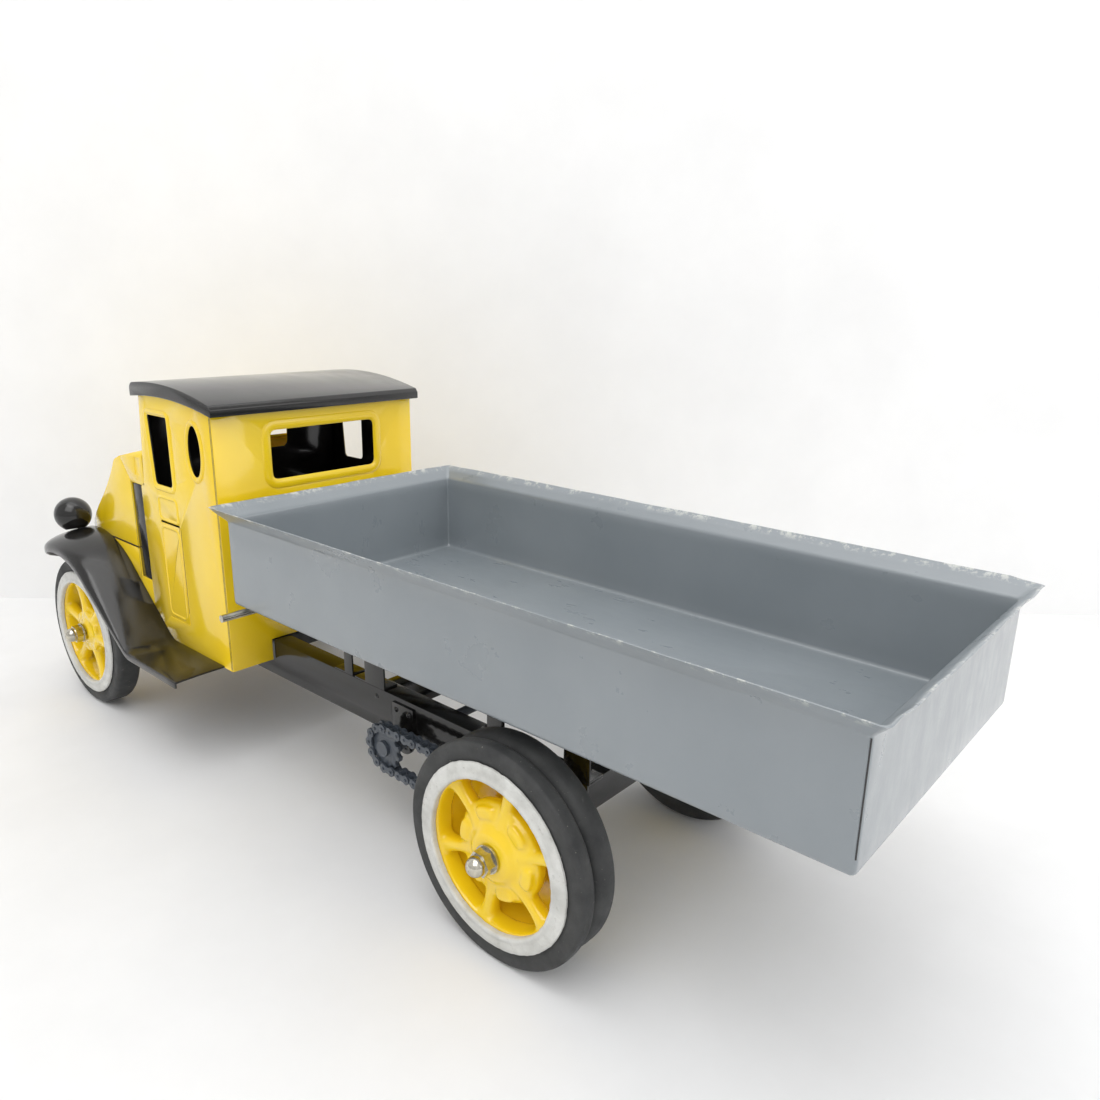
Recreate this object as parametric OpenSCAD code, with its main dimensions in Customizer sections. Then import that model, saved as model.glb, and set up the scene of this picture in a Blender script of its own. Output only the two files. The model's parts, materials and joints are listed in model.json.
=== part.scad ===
// Push along truck: pressed sheet cab, sloping hood, tipping tray bed, chain driven dual rear wheels.
// +X points forward, +Y to the truck's left, +Z up. The floor is at z = 0, under the middle of the box.

/* [Wheels] */
// Outer radius of every tyre
tyre_r = 55; // [54:0.5:56]
// Distance between the front and rear axles
wheelbase = 415; // [413:1:417]
// Radius of the two steel axles
axle_r = 4; // [3.8:0.1:4.2]
// Distance from the centre line to the rear wheel's outer face
rear_face_y = 94; // [93:0.5:96]
// Distance from the centre line to the front wheel's outer face
front_face_y = 104; // [103:0.5:105]
// Number of spokes in each casting
spokes = 6; // [5:1:8]

/* [Frame] */
// Distance from the centre line to a rail's outer face
rail_y = 46; // [45:0.5:46.5]
// Height of a rail's lower edge
rail_z0 = 54; // [53:0.5:55]
// Height of a rail
rail_h = 25; // [24:0.5:26]
// Thickness of the pressed sheet everywhere
sheet = 1.2; // [1:0.1:1.4]

/* [Bed] */
// Half of the bed's width, without its flared rim
bed_w = 86.4; // [84:0.2:88]
// Height of the underside of the bed
bed_z0 = 121; // [120.5:0.5:122]
// Height of the flared rim's outer edge
bed_z1 = 181; // [178:0.5:184]
// Distance the rim flares outwards
rim_flare = 8; // [5:0.5:9]
// Bed front wall, ahead of the rear axle
bed_front = 220; // [215:1:224]
// Bed rear wall, behind the rear axle
bed_rear = 160.5; // [150:0.5:165]

/* [Cab] */
// Half of the cab's width
cab_w = 76.2; // [75.4:0.2:77]
// Cab rear wall, ahead of the rear axle
cab_rear = 247.5; // [246:0.5:249]
// Height of the top of the roof
roof_z = 244.2; // [243:0.2:246]
// Half of the fenders' overall width
fender_w = 110; // [109:0.5:112]

/* [Chain drive] */
// Pitch of the roller chain
pitch = 6.35; // [6.35]
// Teeth on each sprocket
teeth = 12; // [12]
// Distance from the centre line to the middle of a chain
chain_y = 59.5; // [59:0.5:60]
// Chain pitches between the jackshaft and the rear axle
run_links = 18; // [16:1:20]

/* [Hidden] */
$fn = 48;

// Colours
YELLOW = [0.93, 0.75, 0.05];
BLACK = [0.05, 0.05, 0.05];
GREY = [0.5, 0.55, 0.6];
RUBBER = [0.16, 0.17, 0.17];
STEEL = [0.75, 0.75, 0.73];
WHITE = [0.85, 0.85, 0.82];
CHAIN = [0.25, 0.27, 0.3];

// Places along the truck. Distances called "ahead" are measured from the rear axle.
nose_ahead = 478.5;
rear_x = (bed_rear + rim_flare - nose_ahead) / 2;
front_x = rear_x + wheelbase;
rail_z1 = rail_z0 + rail_h;
rail_rear_ahead = -19;
rail_front_ahead = 440;
member_ahead = [-17, 132, 262, 385];
member_length = 14;
flange = 12;
axle_z = tyre_r;
eps = 0.01;

// Running and standing gaps
run_gap = 0.05;
seat_gap = 0.4;

// Wheels, measured inwards from the outer face of the trim
trim_r0 = 37.7;
trim_r1 = 45.9;
trim_t = 3;
tyre_bore = 44;
outer_tyre_z = [-13, -2.2];
inner_tyre_z = [-26, -13.6];
front_tyre_z = [-19, -2.2];
hub_top = -1;
rear_hub_z = -28;
front_hub_z = -21;
washer_t = 1;
stub_r = 3;
stub_end = 7;

// Chain drive
pitch_r = pitch / (2 * sin(180 / teeth));
roller_r = 1.65;
pin_r = 0.9;
jack_x = rear_x + run_links * pitch;
jack_r = 3;
sprocket_t = 2.8;

// Bed tipping
tip_ahead = -12;
tip_z = 100;
tip_r = 2;
lug_y = 41;
bed_bend_z = bed_z1 - 8;

// Cab
pillar_top_ahead = 338.6;
pillar_low_ahead = 345;
pillar_low_z = 175;
grille_ahead = [350, 365];
grille_z = [104, 172];
cab_z0 = 65;
board_z = 66.5;
floor_z = rail_z1 + 0.2;
roof_overhang = 3;
crest_ahead = 311;
roof_curve = 0.00187;
lip_z = 235.5;
lip_curve = 0.00154;
roof_ahead = [242, 344.5];
roof_round = 5;

// Cowl and hood
cowl_top_ahead = [343, 379];
cowl_top_z = [197, 189];
hood_z0 = 126;
nose_z0 = 84;

// Fender
arch_ahead = 427;
arch_r = 73.7;
slope = 40;
tip_angle = 37;
board_front_ahead = 326;
board_rear_ahead = 258;
crown = 10;
bead = 4;

// Points along an arc of radius r about (x, y), from angle a0 to a1 in n steps
function arc(x, y, r, a0, a1, n) =
    [for (i = [0:n]) let (a = a0 + (a1 - a0) * i / n) [x + r * cos(a), y + r * sin(a)]];

// Point at parameter t on the quadratic curve p, q, s
function bend(p, q, s, t) = (1 - t) * (1 - t) * p + 2 * t * (1 - t) * q + t * t * s;

// Height of the roof's top and of its lip's lower edge, at a distance ahead of the rear axle
function roof_top(a) = roof_z - roof_curve * pow(a - crest_ahead, 2);
function lip_low(a) = lip_z - lip_curve * pow(a - crest_ahead + 3, 2);

// Extrudes a side view, whose x is measured ahead of the rear axle, from y0 to y1
module side_view(y0, y1) {
    translate([rear_x, y1, 0]) rotate([90, 0, 0]) linear_extrude(y1 - y0) children();
}

// A rod along Y from y0 to y1 at a distance ahead of the rear axle and a height
module cross_rod(ahead, z, r, y0, y1) {
    translate([rear_x + ahead, y0, z]) rotate([-90, 0, 0]) cylinder(r = r, h = y1 - y0);
}

// A box given by its two corners, with x measured ahead of the rear axle
module block(a, b) {
    translate([rear_x + a[0], a[1], a[2]]) cube([b[0] - a[0], b[1] - a[1], b[2] - a[2]]);
}

// Puts a wheel part, drawn along +Z with its outer face at z = 0, on one side of an axle
module on_axle(x, side, face_y) {
    translate([x, side * face_y, axle_z]) rotate([-90 * side, 0, 0]) children();
}

// Repeats its children on the left (1) and the right (-1) side
module both_sides() {
    for (side = [1, -1]) scale_y(side) children();
}

module scale_y(side) {
    if (side > 0) children();
    else mirror([0, 1, 0]) children();
}

// ---- Frame ----

module rail() {
    notch_r = axle_r + 2;
    color(BLACK) difference() {
        block([rail_rear_ahead, rail_y - flange, rail_z0], [rail_front_ahead, rail_y, rail_z1]);
        block([rail_rear_ahead - 1, rail_y - flange - 1, rail_z0 + sheet],
            [rail_front_ahead + 1, rail_y - sheet, rail_z1 - sheet]);
        for (ahead = [0, run_links * pitch, wheelbase]) {
            cross_rod(ahead, axle_z, notch_r, rail_y - flange - 1, rail_y + 1);
            block([ahead - notch_r, rail_y - flange - 1, rail_z0 - 1], [ahead + notch_r, rail_y + 1, axle_z]);
        }
    }
}

module frame_rail_left() rail();
module frame_rail_right() mirror([0, 1, 0]) rail();

module frame_cross_members() {
    half = rail_y - sheet - eps;
    z0 = rail_z0 + sheet + 6;
    z1 = rail_z1 - sheet - eps;
    color(BLACK) for (ahead = member_ahead) difference() {
        block([ahead, -half, z0], [ahead + member_length, half, z1]);
        block([ahead + sheet, -half - 1, z0 - 1], [ahead + member_length - sheet, half + 1, z1 - sheet]);
    }
}

// A bridge of bent strap: feet on both rails, two uprights and a top strap under the bed
module body_rest(ahead, width) {
    top = bed_z0 - seat_gap;
    foot = 10;
    color(BLACK) {
        both_sides() block([ahead, rail_y - foot, rail_z1 + eps],
            [ahead + width + foot, rail_y, rail_z1 + sheet]);
        block([ahead, -rail_y, top - sheet], [ahead + width, rail_y, top]);
        both_sides() block([ahead, rail_y - sheet, rail_z1 + eps], [ahead + width, rail_y, top]);
    }
}

module body_rests() {
    body_rest(162, 8);
    body_rest(132, 18);
    body_rest(36, 12);
}

module tip_brackets() {
    top_r = 8;
    y0 = rail_y - sheet;
    color(BLACK) both_sides() difference() {
        union() {
            cross_rod(tip_ahead, tip_z, top_r, y0, rail_y);
            block([tip_ahead - top_r, y0, rail_z1 + eps], [tip_ahead + top_r, rail_y, tip_z]);
            block([tip_ahead - top_r + 1, rail_y - flange, rail_z1 + eps],
                [tip_ahead + top_r, rail_y, rail_z1 + sheet]);
        }
        cross_rod(tip_ahead, tip_z, tip_r + run_gap, y0 - 1, rail_y + 1);
    }
}

module tip_pin() {
    end_y = rail_y + 1.5;
    color(STEEL) {
        cross_rod(tip_ahead, tip_z, tip_r, -end_y, end_y);
        both_sides() cross_rod(tip_ahead, tip_z, tip_r + 1.5, rail_y + 0.3, end_y);
    }
}

// ---- Axles ----

module axle(ahead, face_y) {
    shoulder = face_y + hub_top + washer_t;
    color(STEEL) {
        cross_rod(ahead, axle_z, axle_r, -shoulder, shoulder);
        cross_rod(ahead, axle_z, stub_r, -face_y - stub_end, face_y + stub_end);
    }
}

module rear_axle() axle(0, rear_face_y);
module front_axle() axle(wheelbase, front_face_y);

// Plates riveted outside the rails that carry a rod of radius r
module hangers(ahead, r) {
    half = 9;
    color(BLACK) both_sides() difference() {
        union() {
            cross_rod(ahead, axle_z, half, rail_y + eps, rail_y + 1.6);
            block([ahead - half, rail_y + eps, axle_z], [ahead + half, rail_y + 1.6, rail_z1 - 3]);
        }
        cross_rod(ahead, axle_z, r + run_gap, rail_y - 1, rail_y + 3);
    }
}

module rear_axle_hangers() hangers(0, axle_r);
module front_axle_hangers() hangers(wheelbase, axle_r);
module jackshaft_hangers() hangers(run_links * pitch, jack_r);

// A tube on an axle, from y0 to y1 on both sides
module spacer(ahead, y0, y1) {
    both_sides() difference() {
        cross_rod(ahead, axle_z, axle_r + 2.5, y0, y1);
        cross_rod(ahead, axle_z, axle_r + run_gap, y0 - 1, y1 + 1);
    }
}

module axle_spacers() {
    hanger_y = rail_y + 1.8;
    color(STEEL) {
        spacer(0, hanger_y, chain_y - sprocket_t / 2 - 1.4);
        spacer(wheelbase, hanger_y, front_face_y + front_hub_z - 0.4);
    }
}

module jackshaft() {
    end_y = chain_y + sprocket_t / 2 + 0.4;
    color(CHAIN) {
        cross_rod(run_links * pitch, axle_z, jack_r, -end_y - eps, end_y + eps);
        both_sides() cross_rod(run_links * pitch, axle_z, jack_r + 1.6, end_y, end_y + 1.8);
        both_sides() cross_rod(run_links * pitch, axle_z, jack_r + 2, rail_y + 1.8,
            chain_y - sprocket_t / 2 - 0.4);
    }
}

// Domed rivet heads on the outside of the rails
module frame_rivets() {
    rivet_r = 1.7;
    spots = [for (a = [0, run_links * pitch, wheelbase]) each [a - 5.5, a + 5.5]];
    color(BLACK) both_sides() {
        for (a = spots) rivet(a, rail_y + 1.6 + eps, rail_z1 - 7, rivet_r);
        for (i = [1:3]) rivet(member_ahead[i] + member_length / 2, rail_y + eps, rail_z1 - 5.5, rivet_r);
    }
}

module rivet(ahead, y, z, r) {
    translate([rear_x + ahead, y, z]) rotate([-90, 0, 0]) intersection() {
        translate([0, 0, -r * 0.5]) sphere(r = r * 1.12);
        cylinder(r = r * 2, h = r);
    }
}

// ---- Chain drive ----

// Centre of pin i, starting above the rear axle and running forwards along the top
function wrap(i) = let (n = teeth / 2, r = run_links, k = i % (2 * n + 2 * r))
    k <= r ? [k * pitch, pitch_r]
    : k <= r + n ? [r * pitch + pitch_r * sin((k - r) * 360 / teeth), pitch_r * cos((k - r) * 360 / teeth)]
    : k <= 2 * r + n ? [(2 * r + n - k) * pitch, -pitch_r]
    : [-pitch_r * sin((k - 2 * r - n) * 360 / teeth), -pitch_r * cos((k - 2 * r - n) * 360 / teeth)];

// One side plate of a link, lying along +X from its first pin
module link_plate(y0, t) {
    eye = 2.75;
    waist = 1.9;
    translate([0, y0 + t, 0]) rotate([90, 0, 0]) {
        cylinder(r = eye, h = t);
        translate([pitch, 0, 0]) cylinder(r = eye, h = t);
        translate([0, -waist, 0]) cube([pitch, 2 * waist, t]);
    }
}

module outer_link() {
    for (s = [1, -1]) link_plate(s > 0 ? 2.5 : -3.2, 0.7);
    for (x = [0, pitch]) translate([x, -3.9, 0]) rotate([-90, 0, 0]) cylinder(r = pin_r, h = 7.8);
}

module inner_link() {
    difference() {
        union() {
            for (s = [1, -1]) link_plate(s > 0 ? 1.65 : -2.35, 0.7);
            for (x = [0, pitch]) translate([x, -1.7, 0]) rotate([-90, 0, 0]) cylinder(r = roller_r, h = 3.4);
        }
        for (x = [0, pitch]) translate([x, -3, 0]) rotate([-90, 0, 0]) cylinder(r = pin_r + 0.1, h = 6);
    }
}

module chain(side) {
    count = teeth + 2 * run_links;
    color(CHAIN) translate([rear_x, side * chain_y, axle_z]) for (i = [0:count - 1]) {
        a = wrap(i);
        d = wrap(i + 1) - a;
        translate([a[0], 0, a[1]]) rotate([0, -atan2(d[1], d[0]), 0]) {
            if (i % 2 == 0) outer_link();
            else inner_link();
        }
    }
}

module drive_chain_left() chain(1);
module drive_chain_right() chain(-1);

// A sprocket drawn along Y about the origin, with roller seats at every tooth
module sprocket(bore_r, hub_r, hub_y0, hub_y1) {
    tip_r = pitch_r + 0.3;
    half = sprocket_t / 2;
    color(CHAIN) difference() {
        union() {
            translate([0, -half, 0]) rotate([-90, 0, 0]) cylinder(r = tip_r, h = sprocket_t);
            translate([0, hub_y0, 0]) rotate([-90, 0, 0]) cylinder(r = hub_r, h = hub_y1 - hub_y0);
        }
        for (i = [0:teeth - 1]) rotate([0, i * 360 / teeth, 0])
            translate([0, -half - 1, pitch_r]) rotate([-90, 0, 0])
                cylinder(r = roller_r + 0.15, h = sprocket_t + 2);
        translate([0, -20, 0]) rotate([-90, 0, 0]) cylinder(r = bore_r + run_gap, h = 60);
    }
}

module at_chain(ahead, side) {
    scale_y(side) translate([rear_x + ahead, chain_y, axle_z]) children();
}

module rear_sprocket(side) {
    hub_y1 = rear_face_y + rear_hub_z - chain_y - 0.05;
    at_chain(0, side) sprocket(axle_r, 8, -sprocket_t / 2 - 1, hub_y1);
}

module jack_sprocket(side) {
    hub_y = sprocket_t / 2 + 0.1;
    at_chain(run_links * pitch, side) sprocket(jack_r, 6, -hub_y, hub_y);
}

module rear_sprocket_left() rear_sprocket(1);
module rear_sprocket_right() rear_sprocket(-1);
module jack_sprocket_left() jack_sprocket(1);
module jack_sprocket_right() jack_sprocket(-1);

// ---- Wheels ----

// A tyre's closed section between radii bore and out, with rounded shoulders of radius c
module tyre(z, bore, out, c) {
    steps = 8;
    color(RUBBER) rotate_extrude() polygon(concat([[bore, z[0]]],
        arc(out - c, z[0] + c, c, -90, 0, steps), arc(out - c, z[1] - c, c, 0, 90, steps), [[bore, z[1]]]));
}

// Off-white trim flange that covers the tyre's inner edge
module trim() {
    lip = 1.2;
    seat = outer_tyre_z[1] + run_gap;
    step_r = tyre_bore - run_gap;
    color(WHITE) rotate_extrude() polygon([[trim_r0, -trim_t], [step_r, -trim_t], [step_r, seat],
        [trim_r1, seat], [trim_r1, -lip], [trim_r1 - 1, -0.3], [trim_r0 + 1.6, 0], [trim_r0, -0.6]]);
}

// Spoked casting: barrel from z0 to the trim, hub_r hub down to hub_z, spokes at spoke_z
module casting(z0, hub_z, hub_r, spoke_z, spoke_r) {
    pad_r = hub_r * 0.16;
    dome_r = hub_r * 0.55;
    color(YELLOW) difference() {
        union() {
            rotate_extrude() polygon([[36.4, z0], [tyre_bore - eps, z0], [tyre_bore - eps, -trim_t - eps],
                [trim_r0 + 0.3, -trim_t - eps], [trim_r0 - 0.6, -trim_t - 2]]);
            for (i = [0:spokes - 1]) rotate([0, 0, i * 360 / spokes]) {
                translate([hub_r * 0.5, 0, spoke_z]) rotate([0, 90, 0])
                    cylinder(r = spoke_r, h = 38 - hub_r * 0.5);
                rotate([0, 0, 180 / spokes]) translate([hub_r * 0.74, 0, spoke_z]) {
                    cylinder(r = pad_r, h = 8);
                }
            }
            rotate_extrude() polygon(concat([[0, hub_z], [9, hub_z], [10, spoke_z - 8], [hub_r, spoke_z - 5]],
                arc(hub_r - 3, spoke_z + 2, 3, -10, 80, 5),
                [[dome_r + 3, spoke_z + 6], [dome_r, hub_top - 1.4], [dome_r - 1.6, hub_top], [0, hub_top]]));
        }
        translate([0, 0, hub_z - 1]) cylinder(r = axle_r + run_gap, h = 60);
    }
}

module front_wheel(side) {
    on_axle(front_x, side, front_face_y) casting(front_tyre_z[0], front_hub_z, 17, -9, 4.6);
}

module rear_wheel(side) {
    on_axle(rear_x, side, rear_face_y) casting(outer_tyre_z[0], rear_hub_z, 25.3, -9.5, 4.9);
}

// Inner rim of the dual wheel: a barrel with a dished web on the hub
module rear_inner_rim(side) {
    back = inner_tyre_z[0];
    front = outer_tyre_z[0] - 0.3;
    edge = tyre_bore - eps;
    on_axle(rear_x, side, rear_face_y) color(YELLOW) rotate_extrude() polygon([[10.5, -24], [10.5, -27],
        [30, -24.5], [38, back], [edge, back], [edge, front], [38, front],
        [36, -21.5], [30, -21.5]]);
}

module rear_outer_tyre(side) on_axle(rear_x, side, rear_face_y) tyre(outer_tyre_z, tyre_bore, tyre_r, 3.4);
module rear_inner_tyre(side) on_axle(rear_x, side, rear_face_y) tyre(inner_tyre_z, tyre_bore, tyre_r, 3.4);
module front_tyre(side) on_axle(front_x, side, front_face_y) tyre(front_tyre_z, tyre_bore, tyre_r, 4.2);

module front_wheel_left() front_wheel(1);
module front_wheel_right() front_wheel(-1);
module front_trim_left() on_axle(front_x, 1, front_face_y) trim();
module front_trim_right() on_axle(front_x, -1, front_face_y) trim();
module front_tyre_left() front_tyre(1);
module front_tyre_right() front_tyre(-1);
module rear_wheel_left() rear_wheel(1);
module rear_wheel_right() rear_wheel(-1);
module rear_inner_rim_left() rear_inner_rim(1);
module rear_inner_rim_right() rear_inner_rim(-1);
module rear_trim_left() on_axle(rear_x, 1, rear_face_y) trim();
module rear_trim_right() on_axle(rear_x, -1, rear_face_y) trim();
module rear_outer_tyre_left() rear_outer_tyre(1);
module rear_outer_tyre_right() rear_outer_tyre(-1);
module rear_inner_tyre_left() rear_inner_tyre(1);
module rear_inner_tyre_right() rear_inner_tyre(-1);

// Repeats its children at the four axle ends
module at_axle_ends() {
    for (side = [1, -1]) {
        on_axle(rear_x, side, rear_face_y) children();
        on_axle(front_x, side, front_face_y) children();
    }
}

// Domed hexagon nut on each axle end
module axle_nuts() {
    hex_r = 6.4;
    hex_h = 5;
    dome_r = 5;
    z0 = hub_top + washer_t + 0.3;
    color(STEEL) at_axle_ends() difference() {
        union() {
            translate([0, 0, z0]) cylinder(r = hex_r, h = hex_h, $fn = 6);
            translate([0, 0, z0 + hex_h]) cylinder(r = dome_r, h = 1.2);
            translate([0, 0, z0 + hex_h + 1.2]) intersection() {
                sphere(r = dome_r);
                cylinder(r = dome_r, h = dome_r);
            }
        }
        translate([0, 0, -1]) cylinder(r = stub_r + 0.02, h = stub_end + 1.2);
    }
}

module axle_washers() {
    color(STEEL) at_axle_ends() translate([0, 0, hub_top + 0.3]) difference() {
        cylinder(r = 7, h = washer_t - 0.05);
        translate([0, 0, -1]) cylinder(r = axle_r + run_gap, h = 3);
    }
}

// ---- Cab ----

// Side view of the cab side, without its openings
module cab_side_outline() {
    steps = 12;
    a0 = cab_rear + sheet + eps;
    polygon(concat([[a0, cab_z0]],
        [for (i = [0:steps]) let (a = a0 + (pillar_top_ahead - a0) * i / steps)
            [a, roof_top(a) - sheet - 0.3]],
        [[pillar_low_ahead, pillar_low_z], [grille_ahead[0], grille_z[1]], [grille_ahead[0], cab_z0]]));
}

// Door window with rounded lower corners and a raked front edge
module door_window() {
    r = 3;
    polygon(concat([[304, 221], [305, 222.5], [329, 222.5], [330, 221.5]],
        arc(327 - r, 177 + r, r, 0, -90, 5), arc(304.4 + r, 177 + r, r, -90, -180, 5)));
}

module cab_side() {
    oval = [271, 205];
    groove = 0.7;
    depth = 0.5;
    door_ahead = [299.5, 327];
    door_z = [83, 151];
    color(YELLOW) difference() {
        side_view(cab_w - sheet, cab_w) difference() {
            cab_side_outline();
            door_window();
            polygon([for (i = [0:47]) [oval[0] + 7.6 * cos(i * 7.5), oval[1] + 16 * sin(i * 7.5)]]);
            translate([door_ahead[0] + 1, door_z[1]]) square([door_ahead[1] - door_ahead[0] - 2, 1.3]);
        }
        block([door_ahead[0], cab_w - depth, door_z[0]], [door_ahead[0] + groove, cab_w + 1, door_z[1]]);
        block([door_ahead[0], cab_w - depth, door_z[0]], [door_ahead[1], cab_w + 1, door_z[0] + groove]);
    }
}

module cab_left_side() cab_side();
module cab_right_side() mirror([0, 1, 0]) cab_side();

module rounded_rect(x0, y0, x1, y1, r) {
    polygon(concat(arc(x0 + r, y0 + r, r, 180, 270, 5), arc(x1 - r, y0 + r, r, 270, 360, 5),
        arc(x1 - r, y1 - r, r, 0, 90, 5), arc(x0 + r, y1 - r, r, 90, 180, 5)));
}

// Rear wall, drawn as a view along X with y across and z up
module cab_rear_wall() {
    top = roof_top(cab_rear) - sheet - 0.3;
    half = cab_w;
    leg = 47;
    color(YELLOW) translate([rear_x + cab_rear, 0, 0]) rotate([90, 0, 90])
    linear_extrude(sheet) difference() {
        polygon([[-half, cab_z0], [-leg, cab_z0], [-leg, rail_z1 + 0.4], [leg, rail_z1 + 0.4],
            [leg, cab_z0], [half, cab_z0], [half, top], [-half, top]]);
        rounded_rect(-42.5, 185.5, 37.5, 217, 4);
    }
}

// Front wall with the windshield opening, leaning back from the cowl to the roof
module cab_front_wall() {
    top = roof_top(pillar_top_ahead) - sheet - 0.6;
    face = pillar_low_ahead - 0.1;
    face_top = pillar_top_ahead - 0.1;
    half = cab_w - sheet - eps;
    color(YELLOW) difference() {
        side_view(-half, half) polygon([[face - sheet, floor_z + sheet + eps], [face, floor_z + sheet + eps],
            [face, pillar_low_z], [face_top, top], [face_top - sheet, top], [face - sheet, pillar_low_z]]);
        translate([rear_x + face_top - 10, 0, 0]) rotate([90, 0, 90]) linear_extrude(30)
            rounded_rect(-34, 188, 34, 225, 4);
    }
}

module cab_floor() {
    half = cab_w - sheet - eps;
    color(BLACK) block([cab_rear + sheet + eps, -half, floor_z],
        [pillar_low_ahead - sheet - 0.2, half, floor_z + sheet]);
}

// Arched roof sheet with a turned down lip all round
module roof_outline(inset) {
    steps = 20;
    a0 = roof_ahead[0] + inset;
    a1 = roof_ahead[1] - inset;
    top_end = a1 - roof_round;
    polygon(concat(
        [for (i = [0:steps]) let (a = a0 + (a1 - a0) * i / steps) [a, lip_low(a) - (inset > 0 ? 5 : 0)]],
        arc(top_end, roof_top(top_end) - inset - roof_round, roof_round, 0, 80, 6),
        [for (i = [0:steps]) let (a = top_end + (a0 + 2 - top_end) * i / steps) [a, roof_top(a) - inset]],
        [[a0, roof_top(a0) - inset - 2]]));
}

module cab_roof() {
    half = cab_w + roof_overhang;
    color(BLACK) difference() {
        side_view(-half, half) roof_outline(0);
        side_view(-half + sheet, half - sheet) roof_outline(sheet);
    }
}

// Side view of the cowl, drawn in by inset from its top
module cowl_outline(inset) {
    polygon([[pillar_low_ahead + eps, pillar_low_z - 2], [pillar_low_ahead + eps, cowl_top_z[0] - inset],
        [cowl_top_ahead[1], cowl_top_z[1] - inset], [grille_ahead[1], grille_z[1] + 0.5],
        [grille_ahead[0] + 0.3, grille_z[1] + 0.5]]);
}

// Rounded top section shared by the cowl and hood, as a view along X
module shoulder(half, top, r) {
    polygon(concat([[-half, 0]], [[half, 0]], arc(half - r, top - r, r, 0, 90, 8),
        arc(-half + r, top - r, r, 90, 180, 8)));
}

module cowl() {
    half = cab_w;
    length = 60;
    color(YELLOW) difference() {
        intersection() {
            side_view(-half, half) cowl_outline(0);
            translate([rear_x + pillar_low_ahead, 0, 0]) rotate([90, 0, 90]) linear_extrude(length)
                shoulder(half, cowl_top_z[0], 6);
        }
        intersection() {
            side_view(-half + sheet, half - sheet) cowl_outline_inner();
            translate([rear_x + pillar_low_ahead - 1, 0, 0]) rotate([90, 0, 90]) linear_extrude(length)
                shoulder(half - sheet, cowl_top_z[0] - sheet, 5);
        }
        both_sides() block([350, cab_w - 0.5, 179], [357, cab_w + 1, 191]);
    }
}

module cowl_outline_inner() {
    polygon([[pillar_low_ahead - 1, pillar_low_z - 9], [pillar_low_ahead - 1, cowl_top_z[0] - sheet],
        [cowl_top_ahead[1] + 5, cowl_top_z[1] - sheet - 1], [grille_ahead[1] - 5, grille_z[1] - 9]]);
}

// Dark radiator panels let into the sides between the cab and the hood
module side_grilles() {
    color(BLACK) both_sides() block([grille_ahead[0] + 0.2, cab_w - 1.8, grille_z[0]],
        [grille_ahead[1] - 0.2, cab_w - 0.6, grille_z[1]]);
}

// Side view of the hood: a hollow curve from the cowl down to the nose
module hood_outline(inset) {
    steps = 14;
    back = inset > 0 ? -2 : 0;
    low = inset > 0 ? -3 : 0;
    polygon(concat([[grille_ahead[1] + back, hood_z0 + low], [grille_ahead[1] + back, grille_z[1]],
        [cowl_top_ahead[1] + 0.3 + back, cowl_top_z[1] - inset], [388, 185.6 - inset]],
        [for (i = [0:steps])
            bend([390, 184 - inset], [411, 151 - inset], [nose_ahead + 0.5, 106 - inset], i / steps)],
        [[nose_ahead + 1, nose_z0 + low], [440 + inset, nose_z0 + low], [434 + inset, hood_z0 + low]]));
}

// Plan of the hood, drawn in by inset, narrowing to a blunt nose
module hood_plan(inset) {
    steps = 10;
    w = cab_w - inset;
    nose = [for (i = [0:steps])
        bend([425, w], [nose_ahead - 7 - inset, w - 3], [nose_ahead - inset, 40], i / steps)];
    mirrored = [for (i = [0:steps]) [nose[steps - i][0], -nose[steps - i][1]]];
    polygon(concat([[360 - inset, -w], [360 - inset, w]], nose, mirrored));
}

module hood() {
    color(YELLOW) difference() {
        intersection() {
            side_view(-cab_w, cab_w) hood_outline(0);
            translate([rear_x, 0, 0]) linear_extrude(roof_z) hood_plan(0);
        }
        intersection() {
            side_view(-cab_w, cab_w) hood_outline(sheet);
            translate([rear_x, 0, 0]) linear_extrude(roof_z) hood_plan(sheet);
        }
    }
}

module hood_sills() {
    gap = 1.6;
    color(YELLOW) both_sides() {
        block([grille_ahead[1], cab_w - sheet, 95], [432, cab_w, hood_z0 - gap]);
        block([grille_ahead[0] + 0.1, cab_w - sheet, cab_z0],
            [grille_ahead[1] + 2, cab_w, grille_z[0] - 0.1]);
    }
}

// ---- Fenders ----

// Side view path of the fender's crest: s in 0..1 runs from the front tip to the rear of the board
tangent = [arch_ahead - arch_r * sin(slope), axle_z + arch_r * cos(slope)];
slope_end = [board_front_ahead + 3, board_z + 3 * tan(slope)];
board_start = board_front_ahead - 2;
arc_n = 14;
slope_n = 5;
board_n = 5;
crest = concat(
    [for (i = [0:arc_n]) let (a = tip_angle - (tip_angle + slope) * i / arc_n)
        [arch_ahead + arch_r * sin(a), axle_z + arch_r * cos(a)]],
    [for (i = [1:slope_n]) tangent + (slope_end - tangent) * i / slope_n],
    [for (i = [0:board_n]) [board_start + (board_rear_ahead - board_start) * i / board_n, board_z]]);

// Drop of the outer edge below the crest, and the outer edge's distance from the centre line
function edge_drop(i) = i <= arc_n ? crown : crown * max(0.08, (arc_n + slope_n + 1 - i) / (slope_n + 1));
function edge_y(i) = i < 5 ? fender_w - 24 * (1 - sqrt(1 - pow(1 - (i + 0.2) / 5.2, 2))) : fender_w;

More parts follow.
